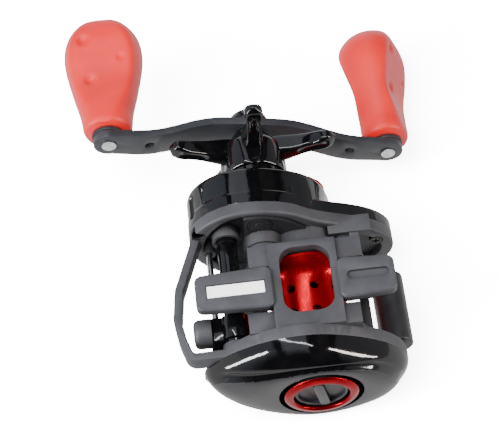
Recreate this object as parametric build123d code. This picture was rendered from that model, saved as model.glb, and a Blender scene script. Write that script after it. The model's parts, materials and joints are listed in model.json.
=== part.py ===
"""Low-profile baitcasting reel, left-hand retrieve, as separate working pieces.

Frame: +X forward towards the rod tip, +Y towards the handle, +Z away from the rod.
The origin is the centre of the reel foot's seat face. Lengths are millimetres.
"""
import os
from math import atan2, cos, degrees, hypot, pi, radians, sin, sqrt, tan

from build123d import *

# ---------------------------------------------------------------- driving dimensions
FOOT_LENGTH = 62.0          # overall, standard reel seat size
FOOT_THICK = 3.0
FOOT_TIP_HALF = 6.1         # half width at the two ends
FOOT_ROOT_HALF = 7.3        # half width beside the bridge
FOOT_FRONT_ROOT = 6.9       # inner end of the front plate
FOOT_REAR_ROOT = -13.3      # inner end of the rear plate
BRIDGE_Z = 1.6              # underside of the bridge, set back from the seat face

SPOOL_X, SPOOL_Z = -4.3, 22.3
SPOOL_FLANGE_R = 17.5
SPOOL_DRUM_R = 12.0
SPOOL_PALM = -12.0          # outer faces of the two flanges
SPOOL_GEAR = 13.0
SPOOL_SHAFT_R = 1.5
SPOOL_END_R = 0.9           # thin end of the shaft inside the pinion
RING_BORE_R = 18.1          # frame opening that the spool is taken out through

GEAR_MODULE = 0.4
DRIVE_TEETH, PINION_TEETH = 64, 10
DRIVE_X = SPOOL_X + 12.5
DRIVE_Z = SPOOL_Z - sqrt(((DRIVE_TEETH + PINION_TEETH) * GEAR_MODULE / 2) ** 2 - 12.5 ** 2)
WORM_MODULE = 0.5
WORM_DRIVE_TEETH, WORM_TEETH = 30, 18
WORM_X = DRIVE_X + 11.7
WORM_Z = DRIVE_Z - sqrt(((WORM_DRIVE_TEETH + WORM_TEETH) * WORM_MODULE / 2) ** 2 - 11.7 ** 2)
BACKLASH = 0.12

PALM_IN, PALM_OUT = -13.5, -18.0        # palm ring, inner and outer faces
PALM_FACE = -28.0                       # outer face of the palm side plate
INNER_PLATE = (13.5, 16.0)              # gear-side plate next to the spool
WALL_IN, WALL_OUT = 28.2, 30.0          # gearbox wall of the frame
LIP_IN = 25.6                           # inner edge of the lip round that wall
COVER_OUT = 44.0                        # outer face of the gear cover
BOSS_OUT = 47.9                         # end of the cover's drive shaft boss
COVER_WALL = 1.7

DRIVE_SHAFT_R = 2.5
SLEEVE_R = 3.4
STAR_IN, STAR_RIM = 48.3, 60.2
STAR_HUB_R = 11.0
STAR_REACH = 28.8
STAR_ARMS = 5

HANDLE_LENGTH = 96.0                    # knob spindle to knob spindle
HANDLE_TURN = 14.0                      # rest position of the arm about +Y, degrees
ARM_THICK = 2.8
ARM_END_IN, ARM_MID_IN = 61.0, 67.0     # inner face of the swept arm, ends and middle
KNOB_BASE, KNOB_TOP = 65.6, 110.8
SPINDLE_R = 2.0

CAP_R = 10.2                            # spool tension cap
CAP_IN, CAP_OUT = 40.4, 47.8
CAP_WELL_R = 10.6
DIAL_R = 8.4
BEZEL_R = 11.7
RUN = 0.05                              # radial running clearance
BOSS_IN = 24.0                          # palm-side end of the worm and guide rod bosses
PANEL_IN, PANEL_EDGE = 24.6, 13.6       # raised black panel inside the lip: face and front edge
CARRIAGE_R, CARRIAGE_X = 4.6, 27.2      # line guide barrel, and the front of its upright

WORM_R = 2.0
SHIELD_R = 3.25
GUIDE_Y = -8.2                          # where the line guide stands at rest
GUIDE_ROD_X, GUIDE_ROD_Z = 26.0, 18.2
THUMB_HALF = 12.6
THUMB_TRAVEL = 4.0
YOKE_TRAVEL = 1.6
YOKE_SPAN = 8.0                         # pinion axis to each yoke post
YOKE_LEAN = degrees(atan2(SPOOL_Z - DRIVE_Z, DRIVE_X - SPOOL_X))    # square to the line of axes
PIN_Y = 30.95                           # clutch pin through the spool shaft
AR_IN, AR_OUT = 36.7, 39.7              # one-way bearing
DIAL_LEAN = 80.0                        # rest position of the dial's finger bar, degrees
EYE_X, EYE_Z = 26.2, 26.4               # centre of the line eye
EYE_BORE_R, EYE_R, EYE_ARM_R = 3.1, 4.0, 4.8
SCREW_PLACES = ((28.4, 9.6, 27.2), (-29.0, 24.0, 25.6), (-14.0, 39.4, 25.6))    # x, z and head


# ---------------------------------------------------------------- helpers
def disc(x, z, radius, y0, y1):
    """Cylinder along Y."""
    return Pos(x, (y0 + y1) / 2, z) * Rot(90, 0, 0) * Cylinder(radius, y1 - y0)


def tube(x, z, outer, inner, y0, y1):
    """Ring along Y."""
    return disc(x, z, outer, y0, y1) - disc(x, z, inner, y0 - 1, y1 + 1)


def block(x0, x1, y0, y1, z0, z1):
    """Box between two corners."""
    centre = Pos((x0 + x1) / 2, (y0 + y1) / 2, (z0 + z1) / 2)
    return centre * Box(x1 - x0, y1 - y0, z1 - z0)


def slab(face, y0, y1):
    """A face drawn in X and Z, carried from y0 to y1."""
    return extrude(Plane.XZ.offset(-y1) * face, amount=y1 - y0)


def lathe(x, z, points):
    """Turn a closed (radius, y) outline about the Y line through x, z."""
    face = make_face(Polyline(*points, close=True))
    return Pos(x, 0, z) * revolve(face, Axis.Y, 360)


def gear(x, z, teeth, module, y0, y1, bore, phase):
    """Spur gear along Y; phase turns it, in radians, until the teeth mesh."""
    pitch_r = teeth * module / 2
    half = pi * module / 4 - BACKLASH / 2
    slope = tan(radians(20))
    corners = (
        (pitch_r - 1.15 * module, half + 1.15 * module * slope),
        (pitch_r + 0.85 * module, half - 0.85 * module * slope),
    )
    points = []
    for tooth in range(teeth):
        middle = phase + 2 * pi * tooth / teeth
        (root, wide), (tip, narrow) = corners
        for radius, offset in ((root, -wide), (tip, -narrow), (tip, narrow), (root, wide)):
            turn = middle + offset / pitch_r
            points.append((radius * cos(turn), radius * sin(turn)))
    face = make_face(Polyline(*points, close=True))
    return slab(Pos(x, z) * face, y0, y1) - disc(x, z, bore, y0 - 1, y1 + 1)


def closed_curve(points):
    """Smooth closed outline through a few points."""
    return make_face(Spline(*points, periodic=True))


def inset_curve(points, inset):
    """The same outline moved in towards its middle by about inset."""
    middle_x = sum(x for x, z in points) / len(points)
    middle_z = sum(z for x, z in points) / len(points)
    moved = []
    for x, z in points:
        part = inset / hypot(x - middle_x, z - middle_z)
        moved.append((x + (middle_x - x) * part, z + (middle_z - z) * part))
    return closed_curve(moved)


def bearing(x, z, outer, inner, y0, y1):
    """Shielded ball bearing: two races and the shields between them."""
    race = (outer - inner) * 0.25
    rings = tube(x, z, outer, outer - race, y0, y1)
    rings += tube(x, z, inner + race, inner, y0, y1)
    return rings + tube(x, z, outer - race, inner + race, y0 + 0.3, y1 - 0.3)


def screw(x, z, head_y, tip_y, head_r, shank_r):
    """Cross-recess screw along Y, its head at head_y."""
    way = 1 if tip_y > head_y else -1
    neck = head_y + way * head_r * 0.6
    body = disc(x, z, head_r, min(head_y, neck), max(head_y, neck))
    body += disc(x, z, shank_r, min(neck, tip_y), max(neck, tip_y))
    slot = head_r * 0.62
    depth = head_y + way * 0.7
    low, high = min(head_y, depth) - 0.01, max(head_y, depth)
    for half_x, half_z in ((slot, 0.25), (0.25, slot)):
        body -= block(x - half_x, x + half_x, low, high, z - half_z, z + half_z)
    return body


# ---------------------------------------------------------------- outlines
PALM_POINTS = ((31.0, 20.5), (25.6, 10.8), (12.0, 2.9), (-3.0, 1.2), (-17.0, 6.0),
               (-28.0, 14.4), (-33.0, 25.0), (-28.0, 36.5), (-12.0, 41.6), (8.0, 40.4),
               (24.0, 32.6))
GEAR_POINTS = ((31.8, 14.5), (27.0, 4.4), (18.0, -0.9), (8.0, -1.2), (-2.0, 2.2),
               (-10.0, 8.0), (-19.5, 12.6), (-29.0, 18.2), (-35.0, 28.0), (-31.0, 38.0),
               (-14.0, 42.0), (8.0, 40.4), (24.0, 32.6))
LIP_POINTS = ((27.2, 15.0), (23.2, 5.6), (17.0, 0.9), (8.0, 0.4), (-1.4, 4.8),
              (-8.6, 11.6), (-18.6, 16.4), (-27.4, 21.4), (-31.0, 29.0), (-27.5, 35.0),
              (-13.0, 38.6), (7.0, 37.2), (21.5, 30.0))
HOUSING_POINTS = ((31.8, 14.5), (27.0, 4.4), (18.0, -0.9), (8.0, -1.2), (-2.0, 2.2),
                  (-10.0, 8.0), (-14.6, 17.0), (-15.4, 28.0), (-9.0, 38.0), (6.0, 40.4),
                  (21.0, 36.0), (30.0, 26.0))


def palm_face():
    return closed_curve(PALM_POINTS)


def gear_face():
    return closed_curve(GEAR_POINTS)


# ---------------------------------------------------------------- frame
def foot_plate(root_x, tip_x):
    """One half of the reel foot, tapering to a rounded tip."""
    root, tip = FOOT_ROOT_HALF, FOOT_TIP_HALF
    face = make_face(Polyline((root_x, -root), (tip_x, -tip), (tip_x, tip), (root_x, root),
                              close=True))
    face = fillet(face.vertices(), 2.4)
    plate = extrude(face, amount=FOOT_THICK)
    return chamfer(plate.faces().sort_by(Axis.Z)[0].edges(), 0.5)


def foot():
    """Both foot plates with the label recess and the rear slot recess."""
    plates = foot_plate(FOOT_FRONT_ROOT, FOOT_LENGTH / 2)
    plates += foot_plate(FOOT_REAR_ROOT, -FOOT_LENGTH / 2)
    plates -= block(9.2, 27.6, -2.3, 2.3, -1, 0.5)
    slot = extrude(Pos(-22.6, 0.4) * RectangleRounded(13.0, 3.2, 1.4), amount=1.0)
    return plates - slot


def bridge():
    """Block under the spool that joins the side plates and carries the foot."""
    body = block(FOOT_REAR_ROOT - 0.6, FOOT_FRONT_ROOT + 0.6, PALM_IN - 1, 15.6, BRIDGE_Z, 7.0)
    body += block(-19.0, 15.6, PALM_IN - 1, -7.6, 3.0, 9.0)
    body += block(4.0, 13.6, 8.6, 16.0, 3.2, 9.0)
    body += block(-22.0, -12.0, 8.8, 16.0, 3.4, 11.0)
    body += block(-24.0, FOOT_REAR_ROOT, -5.4, 5.4, FOOT_THICK - 0.1, 6.0)
    body += block(FOOT_FRONT_ROOT, 14.0, -5.4, 5.4, FOOT_THICK - 0.1, 6.5)
    body -= disc(SPOOL_X, SPOOL_Z, RING_BORE_R + 0.1, PALM_IN - 2, 18)
    return body - window(20)


def window(height):
    """Rounded opening through the bridge, under the spool."""
    return extrude(Pos(-3.7, 2.0, -1) * RectangleRounded(15.8, 23.0, 5.0), amount=height)


def palm_ring():
    """Palm-side ring of the frame, with the lip that the spool flange runs inside."""
    ring = slab(palm_face(), PALM_OUT, PALM_IN)
    ring = fillet(ring.faces().sort_by(Axis.Y)[-1].edges(), 0.8)
    taper = make_face(Polyline((13.0, PALM_IN), (22.0, -15.0), (27.0, -16.4), (36.0, -17.0),
                               (36.0, PALM_IN + 2), (13.0, PALM_IN + 2), close=True))
    ring -= extrude(Pos(0, 0, -5) * taper, amount=60)
    ring += disc(WORM_X, WORM_Z, 4.4, PALM_OUT + 1, PALM_IN)
    ring += disc(GUIDE_ROD_X, GUIDE_ROD_Z, 2.4, PALM_OUT + 1, PALM_IN)
    lip = tube(SPOOL_X, SPOOL_Z, RING_BORE_R + 1.6, RING_BORE_R, PALM_IN - 1, -11.6)
    lip &= slab(palm_face(), PALM_IN - 2, -10)
    ring += lip
    return ring - disc(SPOOL_X, SPOOL_Z, RING_BORE_R, PALM_OUT - 1, -10)


def gear_side():
    """Gear-side plates: spool ring, gearbox wall with its lip, and the bosses between."""
    wall = slab(gear_face(), WALL_IN, WALL_OUT)
    lip = slab(gear_face(), LIP_IN, WALL_IN + 0.1) - slab(closed_curve(LIP_POINTS), LIP_IN - 1, WALL_IN + 1)
    lip = fillet(lip.faces().sort_by(Axis.Y)[0].outer_wire().edges(), 1.0)
    ring = disc(SPOOL_X, SPOOL_Z, 20.2, 11.6, INNER_PLATE[1])
    ring &= slab(palm_face(), 11, 17)
    body = wall + lip + ring
    body += disc(SPOOL_X, SPOOL_Z, 12.4, INNER_PLATE[0], WALL_IN + 0.5)
    body += disc(DRIVE_X, DRIVE_Z, 5.7, INNER_PLATE[1] - 0.5, 21.0)
    body += disc(DRIVE_X, DRIVE_Z, 6.4, 20.6, WALL_IN + 0.5)
    body += disc(WORM_X, WORM_Z, 4.6, BOSS_IN, WALL_IN + 0.5)
    body += disc(GUIDE_ROD_X, GUIDE_ROD_Z, 2.4, BOSS_IN, WALL_IN + 0.5)
    body += block(-26.8, -13.0, 22.6, WALL_IN + 0.5, 11.5, 13.3)
    return body - window(7.2)


def frame_bores(body):
    """Everything that is bored or counterbored in the frame."""
    body -= disc(SPOOL_X, SPOOL_Z, RING_BORE_R, 11.0, INNER_PLATE[0])
    body -= disc(SPOOL_X, SPOOL_Z, 4.0, INNER_PLATE[0] - 1, 19.0)
    body -= disc(SPOOL_X, SPOOL_Z, 5.0, 19.0, WALL_OUT + 1)
    body -= disc(DRIVE_X, DRIVE_Z, 5.2, 21.6, WALL_OUT + 1)
    body -= disc(WORM_X, WORM_Z, 3.4, BOSS_IN - 1, WALL_OUT + 1)
    body -= disc(WORM_X, WORM_Z, 3.4, PALM_IN - 2.6, PALM_IN + 1)
    body -= disc(GUIDE_ROD_X, GUIDE_ROD_Z, 1.2, BOSS_IN - 1, 27.2)
    body -= disc(GUIDE_ROD_X, GUIDE_ROD_Z, 1.2, PALM_IN - 2.6, PALM_IN + 1)
    for x, z, head in SCREW_PLACES:
        body -= disc(x, z, 1.3, LIP_IN - 1, WALL_OUT + 1)
        body -= disc(x, z, 2.4, LIP_IN - 0.5, head + 1.6)
    return body


def crossbars():
    """Bars that tie the two sides together above, in front and behind."""
    top = block(9.0, 24.5, PALM_IN - 1, WALL_IN + 0.5, 33.0, 37.4)
    top &= slab(palm_face(), PALM_IN - 2, WALL_OUT)
    top -= disc(SPOOL_X, SPOOL_Z, RING_BORE_R + 0.6, PALM_IN - 2, INNER_PLATE[0])
    rear = block(-22.6, -19.6, PALM_IN - 1, WALL_IN + 0.5, 12.0, 15.4)
    rear -= disc(SPOOL_X, SPOOL_Z, RING_BORE_R + 0.2, PALM_IN - 2, INNER_PLATE[0])
    return top + rear


def front_guard():
    """Bowed bar in front of the line guide, from one side of the frame to the other."""
    path = FilletPolyline((23.0, PALM_OUT + 1.35), (34.4, PALM_OUT + 1.35), (36.4, -10.3), (37.6, -3.4),
                          (36.4, 7.0), (29.0, LIP_IN + 1.4), radius=2.5)
    band = make_face(offset(path, amount=1.25, side=Side.BOTH))
    return extrude(Pos(0, 0, 9.5) * band, amount=6.0)


def frame():
    body = palm_ring() + gear_side() + bridge() + foot() + crossbars() + front_guard()
    body = frame_bores(body)
    return body


def inner_side_plate():
    """Black panel inside the lip, fitted round the bosses, with a plain round date-stamp recess."""
    plate = slab(inset_curve(LIP_POINTS, 0.4), PANEL_IN, WALL_IN)
    plate &= block(-12.0, PANEL_EDGE, PANEL_IN - 1, WALL_IN + 1, -3.0, 12.8)
    plate -= disc(SPOOL_X, SPOOL_Z, 12.6, PANEL_IN - 1, WALL_IN + 1)
    plate -= disc(DRIVE_X, DRIVE_Z, 6.6, PANEL_IN - 1, WALL_IN + 1)
    return plate - tube(8.6, 4.9, 4.15, 3.85, PANEL_IN - 1, PANEL_IN + 0.3)


def foot_label():
    """Blank paper label in the front plate's recess."""
    return block(9.5, 27.3, -2.0, 2.0, 0.3, 0.5)


# ---------------------------------------------------------------- covers
def gear_side_cover():
    """Gearbox cover with the drive shaft platform and the spool tension boss."""
    outline = inset_curve(HOUSING_POINTS, 0.25)
    inner = inset_curve(HOUSING_POINTS, 0.25 + COVER_WALL)
    housing = slab(outline, WALL_OUT, COVER_OUT)
    housing = fillet(housing.faces().sort_by(Axis.Y)[-1].edges(), 2.2)
    skirt = slab(gear_face(), WALL_OUT, WALL_OUT + 5.0)
    skirt = fillet(skirt.faces().sort_by(Axis.Y)[-1].edges(), 1.5)
    well = disc(SPOOL_X, SPOOL_Z, CAP_WELL_R, CAP_IN - 0.5, COVER_OUT + 9)
    floor = disc(SPOOL_X, SPOOL_Z, CAP_WELL_R + COVER_WALL, CAP_IN - 2.2, COVER_OUT)
    ar_boss = disc(DRIVE_X, DRIVE_Z, 7.6, AR_IN, COVER_OUT)
    body = housing + skirt
    body -= slab(inset_curve(GEAR_POINTS, COVER_WALL), WALL_OUT - 1, WALL_OUT + 3.3)
    body -= slab(inner, WALL_OUT - 1, COVER_OUT - COVER_WALL) - floor - ar_boss
    body += disc(DRIVE_X, DRIVE_Z, 10.4, COVER_OUT - 1, BOSS_OUT)
    body -= well
    body += disc(SPOOL_X, SPOOL_Z, 6.0, CAP_IN - 2.2, CAP_OUT - 3.2)
    body -= disc(SPOOL_X, SPOOL_Z, 4.5, CAP_IN - 4, CAP_OUT)
    body -= disc(DRIVE_X, DRIVE_Z, 6.0, AR_IN - 1, AR_OUT)
    body -= disc(DRIVE_X, DRIVE_Z, SLEEVE_R + 0.3, AR_IN - 1, BOSS_OUT + 1)
    body -= disc(DRIVE_X, DRIVE_Z, 13.5, WALL_OUT - 1, 36.0)
    flute = disc(31.0, 7.8, 2.4, 34.2, 39.4)
    for y in (34.2, 39.4):
        flute += Pos(31.0, y, 7.8) * Sphere(2.4)
    return body - flute


def dome(inset):
    """Palm cover form, from the frame's outline up to the dial; inset moves every wall in."""
    def at(level, face):
        return Plane.XZ.offset(-level) * face
    centre = Pos(SPOOL_X, SPOOL_Z)
    rim = offset(palm_face(), -inset) if inset else palm_face()
    swell = scale(Pos(-SPOOL_X, -SPOOL_Z) * rim, by=(0.86, 0.9, 1))
    crown = centre * Circle(BEZEL_R + 1.6 - inset)
    levels = (PALM_OUT, PALM_OUT - 6.0 + inset * 0.6, PALM_FACE + inset)
    return loft([at(levels[0], rim), at(levels[1], centre * swell), at(levels[2], crown)])


def palm_side_plate():
    """Domed palm cover, hollow, with the round opening for the brake dial."""
    body = dome(0) - dome(1.7)
    body += tube(SPOOL_X, SPOOL_Z, DIAL_R + 1.6, DIAL_R + 0.3, PALM_FACE, PALM_OUT - 6.4)
    return body - disc(SPOOL_X, SPOOL_Z, DIAL_R + 0.3, PALM_FACE - 1, PALM_OUT - 4)


def dial_bezel():
    """Red ring round the brake dial."""
    inner = DIAL_R + 0.3
    face = PALM_FACE
    points = ((inner, face), (inner, face - 0.7), (inner + 0.5, face - 1.2), (BEZEL_R - 1.0, face - 1.0),
              (BEZEL_R, face - 0.3), (BEZEL_R, face))
    return lathe(SPOOL_X, SPOOL_Z, points)


def brake_plate():
    """Inner plate of the palm cover: closes the frame opening and holds the spool bearing."""
    body = disc(SPOOL_X, SPOOL_Z, RING_BORE_R - 0.2, PALM_OUT, PALM_OUT + 1.4)
    body += disc(SPOOL_X, SPOOL_Z, 5.6, PALM_OUT, PALM_OUT + 4.0)
    return body - disc(SPOOL_X, SPOOL_Z, 4.0, PALM_OUT + 0.8, PALM_OUT + 5)


def cover_screws():
    """Screws that hold the gear cover, put in from the spool side."""
    return [screw(x, z, head, WALL_OUT - 0.2, 2.2, 1.2) for x, z, head in SCREW_PLACES]


# ---------------------------------------------------------------- fixed inner parts
def worm_shield():
    """Tube over the worm, slotted in front for the pawl."""
    body = tube(WORM_X, WORM_Z, SHIELD_R, SHIELD_R - 0.6, PALM_IN + 0.02, BOSS_IN + 1.0)
    return body - block(WORM_X, WORM_X + 6, PALM_IN + 1.4, 16.6, WORM_Z - 1.3, WORM_Z + 1.3)


def guide_rod():
    return disc(GUIDE_ROD_X, GUIDE_ROD_Z, 1.0, PALM_IN - 2.4, 27.0)


def worm_bushing_palm():
    return tube(WORM_X, WORM_Z, 3.4, WORM_R + RUN, PALM_IN - 2.6, PALM_IN)


def worm_bushing_gear():
    return tube(WORM_X, WORM_Z, 3.4, WORM_R + RUN, 26.4, 29.6)


# ---------------------------------------------------------------- crank: turns with the handle
def drive_shaft():
    """Shaft with flats for the drag plate and the handle."""
    body = disc(DRIVE_X, DRIVE_Z, DRIVE_SHAFT_R, 21.8, 72.2)
    for side in (-1, 1):
        edge = DRIVE_Z + side * 2.0
        low, high = min(edge, edge + side * 2), max(edge, edge + side * 2)
        body -= block(DRIVE_X - 3, DRIVE_X + 3, 58.0, 69.8, low, high)
    return body


def drive_gear():
    """Main gear; a tooth points straight at the pinion."""
    aim = atan2(SPOOL_Z - DRIVE_Z, SPOOL_X - DRIVE_X)
    body = gear(DRIVE_X, DRIVE_Z, DRIVE_TEETH, GEAR_MODULE, 32.2, 34.8, DRIVE_SHAFT_R, aim)
    return body - tube(DRIVE_X, DRIVE_Z, 9.6, 5.0, 31.0, 32.8)


def levelwind_drive_gear():
    aim = atan2(WORM_Z - DRIVE_Z, WORM_X - DRIVE_X)
    return gear(DRIVE_X, DRIVE_Z, WORM_DRIVE_TEETH, WORM_MODULE, 30.3, 31.7, DRIVE_SHAFT_R, aim)


def drag_washer():
    return tube(DRIVE_X, DRIVE_Z, 10.4, SLEEVE_R, 34.8, 35.5)


def drag_plate():
    """Keyed metal plate that squeezes the drag washer."""
    return tube(DRIVE_X, DRIVE_Z, 10.0, DRIVE_SHAFT_R, 35.5, 36.3)


def anti_reverse_sleeve():
    return tube(DRIVE_X, DRIVE_Z, SLEEVE_R, DRIVE_SHAFT_R, 36.3, 48.5)


def spring_washers():
    """Two cupped washers that carry the star's force to the sleeve."""
    cups = []
    for base, rise in ((48.5, 0.9), (50.9, -0.9)):
        points = ((DRIVE_SHAFT_R + 0.1, base), (6.4, base + rise), (6.4, base + rise + 0.5),
                  (DRIVE_SHAFT_R + 0.1, base + 0.5))
        cups.append(lathe(DRIVE_X, DRIVE_Z, points))
    return cups


def crank_local(solid):
    """Carry a solid drawn about the Y axis, arm along X, to the crank's rest position."""
    return Pos(DRIVE_X, 0, DRIVE_Z) * Rot(0, HANDLE_TURN, 0) * solid


def handle_arm():
    """Swept flat arm with a knob hole and a spare hole at each end."""
    reach = HANDLE_LENGTH / 2
    edges = []
    for rise in (0, ARM_THICK):
        middle, end = ARM_MID_IN + rise, ARM_END_IN + rise
        edges.append(Line((-9, middle), (9, middle)))
        for way in (-1, 1):
            sweep = [(way * 9, middle), (way * 39, end)]
            edges.append(Spline(*sweep, tangents=[(way, 0), (way, 0)]))
            edges.append(Line((way * 39, end), (way * (reach + 6), end)))
    for way in (-1, 1):
        tip = way * (reach + 6)
        edges.append(Line((tip, ARM_END_IN), (tip, ARM_END_IN + ARM_THICK)))
    band = extrude(make_face(edges), amount=10, both=True)
    plan = Circle(6.6)
    for way in (-1, 1):
        plan += Pos(way * reach, 0) * Circle(5.1)
        plan += make_face(Polyline((0, -5.9), (way * reach, -4.9), (way * reach, 4.9), (0, 5.9), close=True))
    arm = band & slab(plan, ARM_END_IN - 5, ARM_MID_IN + 8)
    arm -= disc(0, 0, DRIVE_SHAFT_R, 50, 80)
    for way in (-1, 1):
        arm -= disc(way * reach, 0, SPINDLE_R, 50, 80)
        arm -= disc(way * (reach - 13.6), 0, 1.6, 50, 80)
    return crank_local(arm)


def arm_washer():
    return tube(DRIVE_X, DRIVE_Z, 5.0, DRIVE_SHAFT_R, 65.4, ARM_MID_IN)


def handle_nut():
    top = ARM_MID_IN + ARM_THICK
    body = slab(RegularPolygon(4.6, 6), top, top + 2.6) - disc(0, 0, DRIVE_SHAFT_R, top - 1, top + 4)
    return crank_local(body)


def nut_cover():
    """Domed cap over the handle nut."""
    top = ARM_MID_IN + ARM_THICK
    shell = lathe(0, 0, ((4.75, top), (6.8, top), (6.8, top + 1.6), (6.0, top + 3.6), (4.2, top + 5.0),
                         (0, top + 5.6), (0, top + 3.0), (4.75, top + 3.0)))
    return crank_local(fillet(shell.edges().filter_by(GeomType.CIRCLE).group_by(Axis.Y)[-2], 0.5))


def knob_spindles():
    """Riveted spindles, one at each end of the arm, with their end screws."""
    pins = []
    for way in (-1, 1):
        u = way * HANDLE_LENGTH / 2
        pin = disc(u, 0, SPINDLE_R, ARM_END_IN - 0.3, KNOB_TOP - 8.4)
        pin += disc(u, 0, 2.45, ARM_END_IN - 0.6, ARM_END_IN)
        pin += disc(u, 0, 2.9, KNOB_TOP - 8.4, KNOB_TOP - 7.2)
        pins.append(crank_local(pin))
    return pins


def knob_collars():
    return [crank_local(tube(way * HANDLE_LENGTH / 2, 0, 5.4, SPINDLE_R, ARM_END_IN + ARM_THICK, 65.2))
            for way in (-1, 1)]


# ---------------------------------------------------------------- star and knobs
def drag_star():
    """Five-armed wheel on a long round hub."""
    cavity = 8.8
    points = ((DRIVE_SHAFT_R + 0.1, 52.2), (cavity, 52.2), (cavity, STAR_IN), (STAR_HUB_R, STAR_IN),
              (STAR_HUB_R, 58.6), (10.4, STAR_RIM), (7.4, 63.0), (6.6, 64.4), (DRIVE_SHAFT_R + 0.1, 64.4))
    hub = lathe(DRIVE_X, DRIVE_Z, points)
    arm = make_face(Polyline((0, 54.4), (STAR_REACH - 3, 54.6), (STAR_REACH, 56.4), (STAR_REACH, 58.8),
                             (STAR_REACH - 4, 59.6), (10, 62.8), (0, 63.0), close=True))
    arm = extrude(arm, amount=5, both=True)
    plan = Pos(STAR_REACH - 3, 0) * Circle(3.0)
    plan += make_face(Polyline((6, -4.2), (18, -2.4), (STAR_REACH - 3, -3.0), (STAR_REACH - 3, 3.0),
                               (18, 2.4), (6, 4.2), close=True))
    arm &= slab(plan, 50, 66)
    for index in range(STAR_ARMS):
        turn = 94 + index * 360 / STAR_ARMS
        hub += Pos(DRIVE_X, 0, DRIVE_Z) * Rot(0, turn, 0) * arm
    hub -= disc(DRIVE_X, DRIVE_Z, cavity, STAR_IN - 1, 52.2)
    return hub - disc(DRIVE_X, DRIVE_Z, DRIVE_SHAFT_R + 0.1, 50, 70) - star_nut_pocket()


def star_nut_pocket():
    return Pos(DRIVE_X, 0, DRIVE_Z) * slab(RegularPolygon(4.4, 6), 52.0, 55.2)


def star_nut():
    """Threaded brass insert that turns with the star."""
    return star_nut_pocket() - disc(DRIVE_X, DRIVE_Z, DRIVE_SHAFT_R + 0.06, 50, 60)


KNOB_SECTIONS = ((0.0, 8.1, 7.9), (0.16, 8.9, 7.2), (0.38, 11.2, 6.3), (0.62, 13.2, 8.4), (0.78, 13.0, 9.7),
                 (0.92, 10.2, 8.4), (1.0, 4.6, 4.0))


def knob(way, spin):
    """Paddle knob lofted along Y; spin turns its broad face about the spindle."""
    faces = []
    for part, wide, deep in KNOB_SECTIONS:
        level = KNOB_BASE + part * (KNOB_TOP - KNOB_BASE)
        faces.append(Plane.XZ.offset(-level) * Ellipse(wide, deep))
    body = loft(faces)
    body -= disc(0, 0, 3.2, KNOB_BASE - 1, KNOB_TOP - 6.4)
    return crank_local(Pos(way * HANDLE_LENGTH / 2, 0, 0) * Rot(0, spin - HANDLE_TURN, 0) * body)


def knob_bushes(way):
    bushes = [tube(way * HANDLE_LENGTH / 2, 0, 3.2, SPINDLE_R + RUN, low, low + 5)
              for low in (KNOB_BASE + 0.4, KNOB_TOP - 14.0)]
    return [crank_local(bush) for bush in bushes]


# ---------------------------------------------------------------- spool line
def spool():
    """Anodised spool with drilled drum and a central web."""
    rim, drum, palm, gear_end = SPOOL_FLANGE_R, SPOOL_DRUM_R, SPOOL_PALM, SPOOL_GEAR
    winding = [(rim, gear_end), (rim, gear_end - 0.8), (drum + 1.6, gear_end - 2.3), (drum, gear_end - 4.8),
               (drum, palm + 3.4), (drum + 0.8, palm + 2.6), (rim, palm + 0.8), (rim, palm)]
    palm_hollow = [(rim - 1.2, palm), (drum - 0.4, palm + 2.2), (drum - 1.0, palm + 3.6), (drum - 1.0, -0.8)]
    hub = [(3.0, -0.8), (3.0, -5.0), (SPOOL_SHAFT_R, -5.0), (SPOOL_SHAFT_R, 5.0), (3.0, 5.0), (3.0, 0.8)]
    gear_hollow = [(drum - 1.0, 0.8), (drum - 1.0, gear_end - 4.2), (drum, gear_end - 1.4),
                   (rim - 1.2, gear_end)]
    body = lathe(SPOOL_X, SPOOL_Z, winding + palm_hollow + hub + gear_hollow)
    centre = Pos(SPOOL_X, 0, SPOOL_Z)
    for row in (4.2, -4.2):
        for index in range(10):
            turn = 27 + index * 36
            body -= centre * Rot(0, turn, 0) * Pos(drum, row, 0) * Rot(0, 90, 0) * Cylinder(1.4, 4)
    return body


def spool_shaft():
    """Stepped shaft from the palm bearing to the tension cap."""
    body = disc(SPOOL_X, SPOOL_Z, SPOOL_SHAFT_R, PALM_OUT + 1.0, 30.2)
    body += disc(SPOOL_X, SPOOL_Z, SPOOL_END_R, 30.0, 44.6)
    return body - clutch_pin()


def clutch_pin():
    """Cross pin that the pinion's slot takes hold of."""
    return Pos(SPOOL_X, PIN_Y, SPOOL_Z) * Rot(0, 90, 0) * Cylinder(0.35, 4.0)


def brake_rotor():
    """Thin conductive ring on the spool that the magnets act on."""
    return tube(SPOOL_X, SPOOL_Z, 8.6, 3.0, -4.6, -3.8)


def palm_bearing():
    return bearing(SPOOL_X, SPOOL_Z, 4.0, SPOOL_SHAFT_R + RUN, PALM_OUT + 1.6, PALM_OUT + 4.0)


def frame_bearing():
    return bearing(SPOOL_X, SPOOL_Z, 5.0, SPOOL_SHAFT_R + RUN, 24.0, 27.0)


def cover_bearing():
    return bearing(SPOOL_X, SPOOL_Z, 4.5, SPOOL_END_R + RUN, 41.6, 43.8)


def drive_bearing():
    return bearing(DRIVE_X, DRIVE_Z, 5.2, DRIVE_SHAFT_R + RUN, 21.7, 24.2)


def anti_reverse_bearing():
    """One-way roller clutch in the cover."""
    body = tube(DRIVE_X, DRIVE_Z, 6.0, 5.2, AR_IN, AR_OUT)
    body += tube(DRIVE_X, DRIVE_Z, 5.2, SLEEVE_R + RUN, AR_IN, AR_IN + 0.4)
    body += tube(DRIVE_X, DRIVE_Z, 5.2, SLEEVE_R + RUN, AR_OUT - 0.4, AR_OUT)
    for index in range(6):
        turn = index * pi / 3
        x = DRIVE_X + 4.5 * cos(turn)
        z = DRIVE_Z + 4.5 * sin(turn)
        body += disc(x, z, 0.85, AR_IN + 0.3, AR_OUT - 0.3)
    return body


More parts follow.
